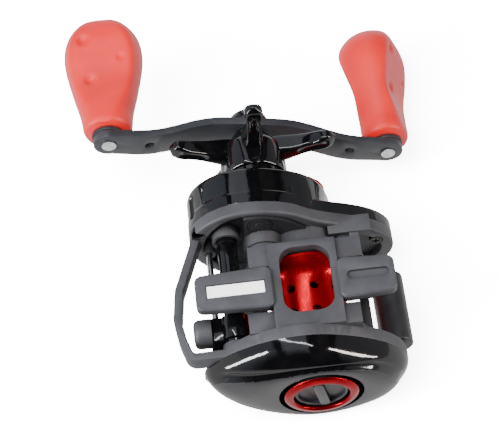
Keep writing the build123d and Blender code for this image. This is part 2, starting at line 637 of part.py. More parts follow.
# ---------------------------------------------------------------- pinion and clutch
def pinion():
    """Sliding pinion: a slot for the cross pin, the teeth, and a groove for the yoke."""
    aim = atan2(DRIVE_Z - SPOOL_Z, DRIVE_X - SPOOL_X) + pi / PINION_TEETH
    bore = SPOOL_END_R + RUN
    body = gear(SPOOL_X, SPOOL_Z, PINION_TEETH, GEAR_MODULE, 31.9, 35.2, bore, aim)
    body += tube(SPOOL_X, SPOOL_Z, 1.4, bore, 30.5, 31.9)
    body += tube(SPOOL_X, SPOOL_Z, 1.5, bore, 35.2, 36.4)
    body += tube(SPOOL_X, SPOOL_Z, 2.4, bore, 36.4, 37.0)
    return body - block(SPOOL_X - 4, SPOOL_X + 4, 30.0, 31.5, SPOOL_Z - 0.5, SPOOL_Z + 0.5)


def clutch_yoke():
    """Fork that sits in the pinion's groove, with a guide hole at each end."""
    arm = Circle(3.4) + Rectangle(3.4, 2 * YOKE_SPAN) - Circle(1.8)
    for way in (-1, 1):
        arm += Pos(0, way * YOKE_SPAN) * (Circle(2.1) - Circle(1.0))
        arm -= Pos(0, way * YOKE_SPAN) * Circle(1.0)
    plate = slab(arm, 35.4, 36.2)
    return Pos(SPOOL_X, 0, SPOOL_Z) * Rot(0, YOKE_LEAN, 0) * plate


def yoke_posts():
    """Two pins that the yoke slides on, fixed in the gearbox wall."""
    pins = [disc(0, side * YOKE_SPAN, 0.95, WALL_OUT, 38.1) for side in (-1, 1)]
    return [Pos(SPOOL_X, 0, SPOOL_Z) * Rot(0, YOKE_LEAN, 0) * pin for pin in pins]


def thumb_bar():
    """Rounded bar between the side plates."""
    face = closed_curve(((-25.9, 25.0), (-29.0, 22.2), (-34.0, 22.6), (-35.6, 26.6), (-33.4, 30.6), (-28.0, 33.4),
                         (-25.9, 31.0)))
    body = slab(face, -THUMB_HALF, THUMB_HALF)
    return fillet(body.faces().sort_by(Axis.Y)[-1].edges() + body.faces().sort_by(Axis.Y)[0].edges(), 0.8)


# ---------------------------------------------------------------- level wind
def worm_shaft():
    """Cross-cut worm, simplified to its core with cut rings."""
    body = disc(WORM_X, WORM_Z, WORM_R, PALM_IN - 2.4, 31.8)
    for index in range(10):
        y = -10.5 + index * 2.8
        body -= tube(WORM_X, WORM_Z, WORM_R + 0.2, WORM_R - 0.4, y, y + 0.9)
    return body


def worm_gear():
    aim = atan2(DRIVE_Z - WORM_Z, DRIVE_X - WORM_X) + pi / WORM_TEETH
    return gear(WORM_X, WORM_Z, WORM_TEETH, WORM_MODULE, 30.3, 31.7, WORM_R, aim)


def line_guide():
    """Carriage on the worm tube and the guide rod, with the arm that holds the line eye."""
    y0, y1 = GUIDE_Y - 3.9, GUIDE_Y + 3.9
    body = block(21.4, CARRIAGE_X, y0, y1, 9.4, 21.0)
    body = fillet(body.edges().filter_by(Axis.Y), 0.6)
    body += disc(WORM_X, WORM_Z, CARRIAGE_R, y0, y1)
    eye = disc(0, 0, EYE_ARM_R, -1.6, 1.6) + block(-3.9, 3.9, -1.6, 1.6, -9.0, 0)
    body += Pos(EYE_X, GUIDE_Y, EYE_Z) * Rot(0, 0, 90) * eye
    body -= Pos(EYE_X, GUIDE_Y, EYE_Z) * Rot(0, 0, 90) * disc(0, 0, EYE_R, -4, 4)
    body -= disc(WORM_X, WORM_Z, SHIELD_R + 0.3, y0 - 1, y1 + 1)
    body -= disc(GUIDE_ROD_X, GUIDE_ROD_Z, 1.06, y0 - 1, y1 + 1)
    return body - Pos(24, GUIDE_Y, WORM_Z) * Rot(0, 90, 0) * Cylinder(1.2, 12)


def line_eye():
    """Ceramic ring that the line runs through."""
    middle = (EYE_BORE_R + EYE_R) / 2
    ring = lathe(0, 0, ((EYE_BORE_R, -1.0), (middle, -1.9), (EYE_R, -1.6), (EYE_R, 1.6), (middle, 1.9),
                        (EYE_BORE_R, 1.0)))
    return Pos(EYE_X, GUIDE_Y, EYE_Z) * Rot(0, 0, 90) * ring


def pawl():
    """Pin whose tip follows the worm's groove through the slot in the tube."""
    length = CARRIAGE_X - (WORM_X + WORM_R + 0.15)
    return Pos(CARRIAGE_X - length / 2, GUIDE_Y, WORM_Z) * Rot(0, 90, 0) * Cylinder(1.1, length)


def pawl_cap():
    """Round cap that keeps the pawl in."""
    length = 32.9 - CARRIAGE_X
    cap = Pos(32.9 - length / 2, GUIDE_Y, WORM_Z) * Rot(0, 90, 0) * Cylinder(4.6, length)
    return fillet(cap.faces().sort_by(Axis.X)[-1].edges(), 1.8)


# ---------------------------------------------------------------- brake dial and tension cap
def brake_dial():
    """Recessed dial with a finger bar across it."""
    body = disc(SPOOL_X, SPOOL_Z, DIAL_R, PALM_FACE + 1.6, PALM_FACE + 3.0)
    body += tube(SPOOL_X, SPOOL_Z, DIAL_R, DIAL_R - 1.0, PALM_FACE + 0.2, PALM_FACE + 1.7)
    bar = slab(SlotOverall(14.6, 3.2), PALM_FACE - 0.5, PALM_FACE + 1.7)
    body += Pos(SPOOL_X, 0, SPOOL_Z) * Rot(0, DIAL_LEAN, 0) * bar
    return body + disc(SPOOL_X, SPOOL_Z, 2.0, PALM_FACE + 2.9, PALM_FACE + 4.0)


def magnet_carrier():
    """Holder that moves the magnets towards the spool as the dial turns."""
    body = disc(SPOOL_X, SPOOL_Z, 7.6, -21.6, -20.2)
    for x, z in magnet_places():
        body -= disc(x, z, 1.5, -21.2, -19)
    return body


def magnet_places():
    return [(SPOOL_X + 5.2 * cos(i * pi / 2), SPOOL_Z + 5.2 * sin(i * pi / 2)) for i in range(4)]


def magnets():
    return [disc(x, z, 1.5, -21.2, -19.9) for x, z in magnet_places()]


def tension_cap():
    """Knurled screw cap over the end of the spool shaft."""
    points = ((6.2, CAP_IN), (CAP_R, CAP_IN), (CAP_R, CAP_OUT - 1.2), (CAP_R - 1.2, CAP_OUT), (0, CAP_OUT),
              (0, CAP_OUT - 1.4), (6.2, CAP_OUT - 1.4))
    body = lathe(SPOOL_X, SPOOL_Z, points)
    for index in range(30):
        turn = index * pi / 15
        x = SPOOL_X + (CAP_R + 0.35) * cos(turn)
        z = SPOOL_Z + (CAP_R + 0.35) * sin(turn)
        body -= disc(x, z, 0.6, CAP_IN - 1, CAP_OUT - 2.0)
    return body


def tension_shim():
    """Friction disc between the cap and the shaft end."""
    return disc(SPOOL_X, SPOOL_Z, 3.6, CAP_OUT - 2.2, CAP_OUT - 1.4)


# ---------------------------------------------------------------- nodes
def parts():
    """Every node with its solid or list of solids."""
    return {
        "frame": frame(),
        "inner_side_plate": inner_side_plate(),
        "foot_label": foot_label(),
        "gear_side_cover": gear_side_cover(),
        "palm_side_plate": palm_side_plate(),
        "brake_plate": brake_plate(),
        "dial_bezel": dial_bezel(),
        "cover_screws": cover_screws(),
        "worm_shield": worm_shield(),
        "guide_rod": guide_rod(),
        "worm_bushing_palm": worm_bushing_palm(),
        "worm_bushing_gear": worm_bushing_gear(),
        "palm_bearing": palm_bearing(),
        "frame_bearing": frame_bearing(),
        "cover_bearing": cover_bearing(),
        "drive_bearing": drive_bearing(),
        "anti_reverse_bearing": anti_reverse_bearing(),
        "yoke_posts": yoke_posts(),
        "drive_shaft": drive_shaft(),
        "drive_gear": drive_gear(),
        "levelwind_drive_gear": levelwind_drive_gear(),
        "drag_washer": drag_washer(),
        "drag_plate": drag_plate(),
        "anti_reverse_sleeve": anti_reverse_sleeve(),
        "spring_washers": spring_washers(),
        "handle_arm": handle_arm(),
        "arm_washer": arm_washer(),
        "handle_nut": handle_nut(),
        "nut_cover": nut_cover(),
        "knob_spindles": knob_spindles(),
        "knob_collars": knob_collars(),
        "drag_star": drag_star(),
        "star_nut": star_nut(),
        "knob_front": knob(1, 0),
        "knob_rear": knob(-1, 68),
        "knob_bushes_front": knob_bushes(1),
        "knob_bushes_rear": knob_bushes(-1),
        "spool": spool(),
        "spool_shaft": spool_shaft(),
        "clutch_pin": clutch_pin(),
        "brake_rotor": brake_rotor(),
        "pinion": pinion(),
        "clutch_yoke": clutch_yoke(),
        "thumb_bar": thumb_bar(),
        "worm_shaft": worm_shaft(),
        "worm_gear": worm_gear(),
        "line_guide": line_guide(),
        "line_eye": line_eye(),
        "pawl": pawl(),
        "pawl_cap": pawl_cap(),
        "brake_dial": brake_dial(),
        "magnet_carrier": magnet_carrier(),
        "magnets": magnets(),
        "tension_cap": tension_cap(),
        "tension_shim": tension_shim(),
    }


os.makedirs("parts", exist_ok=True)
for name, shape in parts().items():
    solid = Compound(children=shape) if isinstance(shape, list) else shape
    export_step(solid, f"parts/{name}.step")
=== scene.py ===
"""Looks of a low-profile baitcasting reel, left-hand retrieve, around its packed working parts.

Row frame, metres: +X forward, +Y towards the handle, +Z away from the rod. Shapes are drawn in
millimetres and scaled once, as each mesh is made. The reel lies on its top, so the camera looks
up at the foot and the floor is overhead.
"""
import json
import math

import bmesh
import bpy
from mathutils import Matrix, Vector


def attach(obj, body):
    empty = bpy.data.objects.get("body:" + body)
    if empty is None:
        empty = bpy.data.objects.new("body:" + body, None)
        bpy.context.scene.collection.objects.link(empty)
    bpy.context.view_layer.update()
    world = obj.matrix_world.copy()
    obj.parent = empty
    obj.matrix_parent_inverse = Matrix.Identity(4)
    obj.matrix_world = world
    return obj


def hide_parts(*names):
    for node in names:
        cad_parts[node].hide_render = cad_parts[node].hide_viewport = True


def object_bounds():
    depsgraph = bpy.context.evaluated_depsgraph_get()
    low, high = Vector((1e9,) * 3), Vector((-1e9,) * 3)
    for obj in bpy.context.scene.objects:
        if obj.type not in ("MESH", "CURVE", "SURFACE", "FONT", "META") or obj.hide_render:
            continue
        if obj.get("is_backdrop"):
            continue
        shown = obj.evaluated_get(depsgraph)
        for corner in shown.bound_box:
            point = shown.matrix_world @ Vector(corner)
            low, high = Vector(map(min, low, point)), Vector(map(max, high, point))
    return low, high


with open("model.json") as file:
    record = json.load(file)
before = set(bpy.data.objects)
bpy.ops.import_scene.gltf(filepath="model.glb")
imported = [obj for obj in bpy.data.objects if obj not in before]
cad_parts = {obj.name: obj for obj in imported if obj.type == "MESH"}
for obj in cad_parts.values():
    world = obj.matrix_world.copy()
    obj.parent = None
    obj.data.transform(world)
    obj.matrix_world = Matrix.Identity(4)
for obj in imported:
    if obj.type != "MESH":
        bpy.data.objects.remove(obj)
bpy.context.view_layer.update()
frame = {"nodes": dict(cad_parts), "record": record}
NODES = frame["nodes"]
MM = 0.001

# ---------------------------------------------------------------- sizes shared with the parts, mm
SPOOL = (-4.3, 22.3)
DRIVE = (8.2, 14.376)
WORM = (19.9, 11.709)
PALM_OUT, PALM_FACE = -18.0, -28.0
HANDLE_HALF, HANDLE_TURN = 48.0, math.radians(14)
KNOB_BASE, KNOB_TOP = 65.6, 110.8
HUB_R, STAR_REACH, STAR_ARMS = 11.0, 28.8, 5
STAR_FIRST_ARM = math.radians(94)
DIAL_R, BEZEL_R = 8.4, 11.7
PALM_OUTLINE = ((31.0, 20.5), (25.6, 10.8), (12.0, 2.9), (-3.0, 1.2), (-17.0, 6.0), (-28.0, 14.4),
                (-33.0, 25.0), (-28.0, 36.5), (-12.0, 41.6), (8.0, 40.4), (24.0, 32.6))


# ---------------------------------------------------------------- small tools
def colour(code):
    """sRGB hex to a linear colour."""
    parts = [int(code[i:i + 2], 16) / 255 for i in (1, 3, 5)]
    return [p / 12.92 if p <= 0.04045 else ((p + 0.055) / 1.055) ** 2.4 for p in parts] + [1.0]


def add(tree, kind, settings=None, **inputs):
    """Adds a node with its settings; an input is a value or another node's output socket."""
    made = tree.nodes.new(kind)
    for name, value in (settings or {}).items():
        setattr(made, name, value)
    for name, value in inputs.items():
        socket = made.inputs[int(name[1:])] if name[0] == "i" and name[1:].isdigit() else None
        if socket is None:
            socket = made.inputs[name.replace("_", " ")]
        if isinstance(value, bpy.types.NodeSocket):
            tree.links.new(value, socket)
        else:
            socket.default_value = value
    return made


def blank(name):
    """An empty node material with its output and Principled shader."""
    made = bpy.data.materials.new(name)
    made.use_nodes = True
    tree = made.node_tree
    tree.nodes.clear()
    shader = add(tree, "ShaderNodeBsdfPrincipled")
    out = add(tree, "ShaderNodeOutputMaterial")
    tree.links.new(shader.outputs["BSDF"], out.inputs["Surface"])
    return made, tree, shader


def place(tree, scale=(1, 1, 1), location=(0, 0, 0), rotation=(0, 0, 0)):
    """Object coordinates in metres, moved and scaled."""
    source = add(tree, "ShaderNodeTexCoord")
    return add(tree, "ShaderNodeMapping", Vector=source.outputs["Object"], Scale=scale,
               Location=location, Rotation=rotation).outputs["Vector"]


def ramp(tree, factor, stops):
    """Colour ramp from (position, hex) pairs."""
    made = add(tree, "ShaderNodeValToRGB", Fac=factor)
    elements = made.color_ramp.elements
    while len(elements) < len(stops):
        elements.new(0.5)
    for element, (position, code) in zip(elements, stops):
        element.position = position
        element.color = colour(code)
    return made.outputs["Color"]


def spread(tree, value, low, high):
    """Maps 0..1 to low..high."""
    return add(tree, "ShaderNodeMapRange", Value=value, To_Min=low, To_Max=high).outputs["Result"]


def mesh_object(name, points, faces, material, sharp=35):
    """Object from millimetre points, smooth except at edges sharper than the angle."""
    mesh = bpy.data.meshes.new(name)
    mesh.from_pydata([Vector(p) * MM for p in points], [], faces)
    return finish_mesh(name, mesh, material, sharp)


def finish_mesh(name, mesh, material, sharp=35):
    work = bmesh.new()
    work.from_mesh(mesh)
    bmesh.ops.remove_doubles(work, verts=work.verts, dist=1e-6)
    bmesh.ops.recalc_face_normals(work, faces=work.faces)
    work.to_mesh(mesh)
    work.free()
    mesh.polygons.foreach_set("use_smooth", [True] * len(mesh.polygons))
    mesh.set_sharp_from_angle(angle=math.radians(sharp))
    mesh.materials.clear()
    mesh.materials.append(material)
    made = bpy.data.objects.new(name, mesh)
    bpy.context.scene.collection.objects.link(made)
    return made


def loft(name, rings, material, sharp=35, caps=(True, True)):
    """Skin over closed rings of equal length, with flat ends."""
    count = len(rings[0])
    points = [p for ring in rings for p in ring]
    faces = []
    for r in range(len(rings) - 1):
        for i in range(count):
            a, b = r * count + i, r * count + (i + 1) % count
            faces.append((a, b, b + count, a + count))
    if caps[0]:
        faces.append(tuple(range(count)))
    if caps[1]:
        faces.append(tuple(range((len(rings) - 1) * count, len(rings) * count)))
    return mesh_object(name, points, faces, material, sharp)


def turned(name, centre, profile, material, steps=96, sharp=35):
    """Closed (radius, y) profile turned about the Y line through centre."""
    rings = []
    for step in range(steps):
        turn = 2 * math.pi * step / steps
        rings.append([(centre[0] + r * math.cos(turn), y, centre[1] + r * math.sin(turn))
                      for r, y in profile])
    count = len(profile)
    points = [p for ring in rings for p in ring]
    faces = []
    for s in range(steps):
        for i in range(count):
            a, b = s * count + i, s * count + (i + 1) % count
            c, d = ((s + 1) % steps) * count + (i + 1) % count, ((s + 1) % steps) * count + i
            faces.append((a, b, c, d))
    return mesh_object(name, points, faces, material, sharp)


def modified(piece, kind, **settings):
    """Applies one modifier to a piece's mesh."""
    made = piece.modifiers.new(kind.title(), kind)
    for name, value in settings.items():
        setattr(made, name, value)
    graph = bpy.context.evaluated_depsgraph_get()
    mesh = bpy.data.meshes.new_from_object(piece.evaluated_get(graph))
    piece.modifiers.clear()
    old, piece.data = piece.data, mesh
    bpy.data.meshes.remove(old)
    mesh.name = piece.name
    return piece


def joined(name, pieces):
    """One mesh object from several at the origin."""
    work = bmesh.new()
    materials = []
    for piece in pieces:
        shift = []
        for m in piece.data.materials:
            if m not in materials:
                materials.append(m)
            shift.append(materials.index(m))
        before = len(work.faces)
        work.from_mesh(piece.data)
        work.faces.ensure_lookup_table()
        for face in work.faces[before:]:
            face.material_index = shift[face.material_index]
    mesh = bpy.data.meshes.new(name)
    work.to_mesh(mesh)
    work.free()
    for m in materials:
        mesh.materials.append(m)
    for piece in pieces:
        bpy.data.objects.remove(piece)
    made = bpy.data.objects.new(name, mesh)
    bpy.context.scene.collection.objects.link(made)
    return made


def softened(node, material, width, angle=32, sharp=40):
    """Finished copy of a part: its mesh merged, its edges rounded over by width millimetres."""
    source = NODES[node].data
    mesh = bpy.data.meshes.new(node + "_finished")
    corners = [v.co.copy() for v in source.vertices]
    mesh.from_pydata(corners, [], [tuple(p.vertices) for p in source.polygons])
    work = bmesh.new()
    work.from_mesh(mesh)
    bmesh.ops.remove_doubles(work, verts=work.verts, dist=2e-6)
    bmesh.ops.dissolve_degenerate(work, edges=work.edges, dist=2e-6)
    bmesh.ops.dissolve_limit(work, angle_limit=math.radians(1.0), verts=work.verts, edges=work.edges)
    work.to_mesh(mesh)
    work.free()
    piece = bpy.data.objects.new(node + "_finished", mesh)
    bpy.context.scene.collection.objects.link(piece)
    mesh.materials.append(material)
    if width:
        modified(piece, "BEVEL", width=width * MM, segments=2, limit_method="ANGLE",
                 angle_limit=math.radians(angle), use_clamp_overlap=True)
    mesh = piece.data
    mesh.polygons.foreach_set("use_smooth", [True] * len(mesh.polygons))
    mesh.set_sharp_from_angle(angle=math.radians(sharp))
    return piece


def stand_for(piece, body, slot, *nodes):
    """Rides the piece on a body, in place of the nodes."""
    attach(piece, body)
    if nodes:
        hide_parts(*nodes)
    return piece


def smooth_closed(points, count):
    """Evenly stepped closed Catmull-Rom curve through a few points."""
    size = len(points)
    out = []
    for i in range(count):
        position = i * size / count
        k = int(position)
        t = position - k
        p = [Vector(points[(k + j - 1) % size]) for j in range(4)]
        out.append(0.5 * (2 * p[1] + (p[2] - p[0]) * t + (2 * p[0] - 5 * p[1] + 4 * p[2] - p[3]) * t * t
                          + (3 * p[1] - p[0] - 3 * p[2] + p[3]) * t ** 3))
    return out


def table_value(table, at, column):
    """Smooth value from rows of (position, value, ...)."""
    rows = list(table)
    k = 0
    while k < len(rows) - 2 and rows[k + 1][0] < at:
        k += 1
    a, b = rows[k], rows[k + 1]
    before, after = rows[max(k - 1, 0)], rows[min(k + 2, len(rows) - 1)]
    span = b[0] - a[0]
    t = min(max((at - a[0]) / span, 0), 1)
    slope_a = (b[column] - before[column]) / (b[0] - before[0]) * span
    slope_b = (after[column] - a[column]) / (after[0] - a[0]) * span
    return ((2 * t ** 3 - 3 * t ** 2 + 1) * a[column] + (t ** 3 - 2 * t ** 2 + t) * slope_a
            + (3 * t ** 2 - 2 * t ** 3) * b[column] + (t ** 3 - t ** 2) * slope_b)


def bump(tree, shader, height, strength, distance):
    made = add(tree, "ShaderNodeBump", Strength=strength, Distance=distance, Height=height)
    tree.links.new(made.outputs["Normal"], shader.inputs["Normal"])
    return made


# ---------------------------------------------------------------- materials
def moulded_graphite(name, dark, light, rough=0.55):
    """Glass-filled nylon moulding with a spark-eroded matte grain, so it looks dry and bluish grey.
    Inner corners are darker with painted shade: an occlusion term darkens the colour where little light
    reaches."""
    made, tree, shader = blank(name)
    spot = place(tree, (1000, 1000, 1000))                      # one unit is 1 mm
    grain = add(tree, "ShaderNodeTexNoise", Vector=spot, Scale=3.2, Detail=4.0, Roughness=0.7)
    grain = grain.outputs["Fac"]
    cloud = add(tree, "ShaderNodeTexNoise", Vector=spot, Scale=0.12, Detail=3.0).outputs["Fac"]
    shade = ramp(tree, cloud, ((0.3, dark), (0.7, light)))
    # painted shade: occlusion within 9 mm darkens the colour towards near black in corners, recesses and
    # between parts
    open_sky_for_painted_shade = add(tree, "ShaderNodeAmbientOcclusion", {"samples": 6}, Distance=0.009).outputs["AO"]
    depth = add(tree, "ShaderNodeMapRange", Value=open_sky_for_painted_shade, From_Min=0.25, From_Max=0.85, To_Min=0.16)
    colour_with_painted_shade = add(tree, "ShaderNodeMix", {"data_type": "RGBA"}, Factor=depth.outputs["Result"],
                i6=colour("#060607"), i7=shade)
    tree.links.new(colour_with_painted_shade.outputs[2], shader.inputs["Base Color"])
    tree.links.new(spread(tree, grain, rough - 0.07, rough + 0.09), shader.inputs["Roughness"])
    shader.inputs["IOR"].default_value = 1.5
    bump(tree, shader, grain, 0.35, 0.00006)
    return made


def polished_black(name):
    """Piano-black ABS under clear lacquer: deep black with a slight orange peel in its reflections."""
    made, tree, shader = blank(name)
    spot = place(tree, (1000, 1000, 1000))
    peel = add(tree, "ShaderNodeTexNoise", Vector=spot, Scale=0.35, Detail=2.0).outputs["Fac"]
    tree.links.new(ramp(tree, peel, ((0.3, "#040405"), (0.7, "#070708"))), shader.inputs["Base Color"])
    tree.links.new(spread(tree, peel, 0.04, 0.10), shader.inputs["Roughness"])
    shader.inputs["IOR"].default_value = 1.5
    bump(tree, shader, peel, 0.12, 0.0003)
    return made


def satin_paint(name, dark, light, rough):
    """Satin two-part paint over ABS: soft broad highlight with a fine dust of metal flake."""
    made, tree, shader = blank(name)
    spot = place(tree, (1000, 1000, 1000))
    flake = add(tree, "ShaderNodeTexNoise", Vector=spot, Scale=6.0, Detail=2.0).outputs["Fac"]
    cloud = add(tree, "ShaderNodeTexNoise", Vector=spot, Scale=0.1, Detail=2.0).outputs["Fac"]
    tree.links.new(ramp(tree, cloud, ((0.3, dark), (0.7, light))), shader.inputs["Base Color"])
    tree.links.new(spread(tree, flake, rough - 0.05, rough + 0.06), shader.inputs["Roughness"])
    shader.inputs["IOR"].default_value = 1.5
    bump(tree, shader, flake, 0.12, 0.00003)
    return made


def anodised(name, deep, bright, rough, centre, pitch=0.35):
    """Dyed anodised aluminium, turned on a lathe: metal glow with fine rings about its axis."""
    made, tree, shader = blank(name)
    spot = place(tree, (1000, 1000, 1000), (-centre[0], 0, -centre[1]))
    lines = add(tree, "ShaderNodeTexWave", {"wave_type": "BANDS", "bands_direction": "Y"}, Vector=spot,
                Scale=1 / pitch, Distortion=0.6, Detail=2.0, Detail_Scale=1.5).outputs["Fac"]
    cloud = add(tree, "ShaderNodeTexNoise", Vector=spot, Scale=0.25, Detail=3.0).outputs["Fac"]
    tree.links.new(ramp(tree, cloud, ((0.3, deep), (0.7, bright))), shader.inputs["Base Color"])
    tree.links.new(spread(tree, lines, rough - 0.04, rough + 0.06), shader.inputs["Roughness"])
    shader.inputs["Metallic"].default_value = 0.92
    bump(tree, shader, lines, 0.10, 0.00003)
    return made


def soft_touch(name, deep, bright):
    """Soft-touch rubber over a moulded core: even bright red, faint velvety sheen, no sharp glints."""
    made, tree, shader = blank(name)
    spot = place(tree, (1000, 1000, 1000))
    grain = add(tree, "ShaderNodeTexNoise", Vector=spot, Scale=5.0, Detail=3.0).outputs["Fac"]
    cloud = add(tree, "ShaderNodeTexNoise", Vector=spot, Scale=0.08, Detail=2.0).outputs["Fac"]
    tree.links.new(ramp(tree, cloud, ((0.35, deep), (0.65, bright))), shader.inputs["Base Color"])
    tree.links.new(spread(tree, grain, 0.40, 0.50), shader.inputs["Roughness"])
    shader.inputs["Subsurface Weight"].default_value = 0.06
    shader.inputs["Subsurface Radius"].default_value = (1.0, 0.25, 0.15)
    shader.inputs["Subsurface Scale"].default_value = 0.0015
    shader.inputs["Sheen Weight"].default_value = 0.08
    shader.inputs["Sheen Roughness"].default_value = 0.5
    bump(tree, shader, grain, 0.08, 0.00003)
    return made


def bare_metal(name, dark, light, rough, pitch=0.3):
    """Machined metal: turning marks from the lathe, slightly uneven polish."""
    made, tree, shader = blank(name)
    spot = place(tree, (1000, 1000, 1000))
    marks = add(tree, "ShaderNodeTexWave", {"wave_type": "BANDS", "bands_direction": "Y"}, Vector=spot,
                Scale=1 / pitch, Distortion=1.0, Detail=2.0).outputs["Fac"]
    cloud = add(tree, "ShaderNodeTexNoise", Vector=spot, Scale=0.5, Detail=3.0).outputs["Fac"]
    tree.links.new(ramp(tree, cloud, ((0.3, dark), (0.7, light))), shader.inputs["Base Color"])
    tree.links.new(spread(tree, marks, rough - 0.05, rough + 0.08), shader.inputs["Roughness"])
    shader.inputs["Metallic"].default_value = 1.0
    bump(tree, shader, marks, 0.08, 0.00002)
    return made


def plain_solid(name, dark, light, rough, scale=1.0):
    """Unpainted plastic, ceramic or fibre with a little mottling."""
    made, tree, shader = blank(name)
    spot = place(tree, (1000, 1000, 1000))
    mottle = add(tree, "ShaderNodeTexNoise", Vector=spot, Scale=scale, Detail=4.0).outputs["Fac"]
    tree.links.new(ramp(tree, mottle, ((0.35, dark), (0.65, light))), shader.inputs["Base Color"])
    tree.links.new(spread(tree, mottle, rough - 0.05, rough + 0.05), shader.inputs["Roughness"])
    bump(tree, shader, mottle, 0.1, 0.00003)
    return made


def woven_carbon(name):
    """Woven carbon drag washer: 1 mm twill cells, dry and dark."""
    made, tree, shader = blank(name)
    spot = place(tree, (1000, 1000, 1000))
    cells = add(tree, "ShaderNodeTexChecker", Vector=spot, Scale=1.0, Color1=colour("#101112"),
                Color2=colour("#26282B"))
    tree.links.new(cells.outputs["Color"], shader.inputs["Base Color"])
    shader.inputs["Roughness"].default_value = 0.6
    bump(tree, shader, cells.outputs["Fac"], 0.2, 0.00004)
    return made


FINISH = {
    "frame_grey": moulded_graphite("moulded_graphite_nylon", "#28282B", "#313236"),
    "gloss_black": polished_black("lacquered_abs"),
    "satin_black": moulded_graphite("moulded_black_nylon", "#161617", "#202023", 0.42),
    "satin_shell": satin_paint("satin_grey_paint", "#1B1A1C", "#242326", 0.34),
    "red_anodised": anodised("anodised_spool_alloy", "#B80818", "#D41020", 0.30, SPOOL),
    "knob_red": soft_touch("soft_touch_rubber", "#A80502", "#B40904"),
    "label_white": plain_solid("label_paper", "#E9E8E6", "#F3F3F1", 0.62, 2.0),
    "steel": bare_metal("machined_steel", "#8E9092", "#B2B4B6", 0.3),
    "stainless": bare_metal("polished_stainless", "#B9BABB", "#DCDCDC", 0.2),
    "dark_screw": bare_metal("blackened_steel", "#1B1A19", "#34312E", 0.34),
    "brass": bare_metal("machined_brass", "#A8813A", "#C9A255", 0.28),
    "nylon": plain_solid("natural_nylon", "#CFC9BA", "#DBD6C9", 0.45),
    "arm_black": satin_paint("hard_anodised_arm", "#1C1D20", "#26282C", 0.40),
    "carbon": woven_carbon("woven_carbon_fibre"),
    "ceramic": plain_solid("zirconia_ceramic", "#1B1B1E", "#25252A", 0.15),
    "magnet": bare_metal("nickel_plate", "#B4B4B8", "#CDCDD2", 0.22),
    "bezel_red": anodised("anodised_bezel_alloy", "#7C0710", "#980C16", 0.22, SPOOL),
    "dial_grey": moulded_graphite("moulded_dial_grey", "#28282A", "#323234", 0.34),
}
SLOT_OF = {row["node"]: row["material_slot"] for row in frame["record"]["subparts"]}
for node_name, shown in NODES.items():
    shown.data.materials.clear()
    shown.data.materials.append(FINISH[SLOT_OF[node_name]])


# ---------------------------------------------------------------- palm side shell
def palm_shell():
    """Domed cover: a polished flank with a flowing crease, and a satin crown round the dial."""
    around, steps = 220, 60
    outline = smooth_closed(PALM_OUTLINE, around)
    crown_r = BEZEL_R + 1.6
    centre = Vector(SPOOL)
    rings = []
    for step in range(steps + 1):
        f = 1 - step / steps
        ring = []
        for point in outline:
            away = point - centre
            turn = math.atan2(away.y, away.x)
            inner = centre + away.normalized() * crown_r
            spot = inner.lerp(point, f)
            rise = 10.0 * (1 - f ** 2.6) ** 0.62
            ring.append((spot.x, PALM_OUT - rise + crease_depth(f, turn), spot.y))
        rings.append(ring)
    inside = [(x, PALM_OUT, z) for x, y, z in rings[0]]
    inner_rings = []
    for scale_in, level in ((0.955, PALM_OUT), (0.9, PALM_OUT - 4.0), (0.5, PALM_FACE + 2.4)):
        inner_rings.append([(centre.x + (x - centre.x) * scale_in, level,
                             centre.y + (z - centre.y) * scale_in) for x, y, z in inside])
    rings = list(reversed(inner_rings)) + rings
    piece = loft("palm_shell", rings, FINISH["gloss_black"], 50, (False, False))
    piece.data.materials.append(FINISH["satin_shell"])
    for face in piece.data.polygons:
        middle = face.center / MM
        away = Vector((middle.x, middle.z)) - centre
        turn = math.atan2(away.y, away.x)
        f = outline_fraction(outline, centre, away, crown_r)
        if f < crease_at(turn):
            face.material_index = 1
    return piece


def outline_fraction(outline, centre, away, crown_r):
    turn = math.atan2(away.y, away.x)
    best = min(outline, key=lambda p: abs(angle_between(math.atan2(p.y - centre.y, p.x - centre.x), turn)))
    reach = (best - centre).length
    return (away.length - crown_r) / (reach - crown_r)


def angle_between(a, b):
    return (a - b + math.pi) % (2 * math.pi) - math.pi


CREASE = ((-180, 0.62), (-150, 0.52), (-120, 0.30), (-90, 0.16), (-60, 0.22), (-30, 0.50), (-8, 0.86),
          (15, 0.95), (45, 0.90), (90, 0.86), (135, 0.86), (160, 0.80), (180, 0.62))


def crease_at(turn):
    """How far out the crease lies, from the dial (0) to the rim (1), by direction."""
    return table_value(CREASE, math.degrees(turn), 1)


def crease_depth(f, turn):
    """Valley beside the crease, deepest on the foot side, fading out over the top."""
    lower = max(0.0, math.cos(angle_between(turn, math.radians(-85)) * 0.62))
    where = crease_at(turn)
    valley = math.exp(-((f - where - 0.13) / 0.11) ** 2)
    return 1.7 * lower * valley * min(1, f * 6) * min(1, (1 - f) * 6)


shell = palm_shell()
stand_for(shell, "reel_body", "gloss_black", "palm_side_plate")


# ---------------------------------------------------------------- knobs
KNOB_TABLE = ((0.0, 7.4, 7.3), (0.03, 8.1, 7.9), (0.16, 8.9, 7.2), (0.38, 11.2, 6.4), (0.62, 13.2, 8.4),
              (0.78, 12.9, 9.7), (0.90, 10.3, 8.9), (0.965, 6.6, 6.2), (1.0, 0.3, 0.3))
# across the face, share of the height, radius, depth
DIMPLES = ((5.9, 0.735, 1.9, 0.9), (4.2, 0.40, 1.9, 0.9), (-6.4, 0.57, 1.3, 0.45))
EDGE_SOFT = 0.55


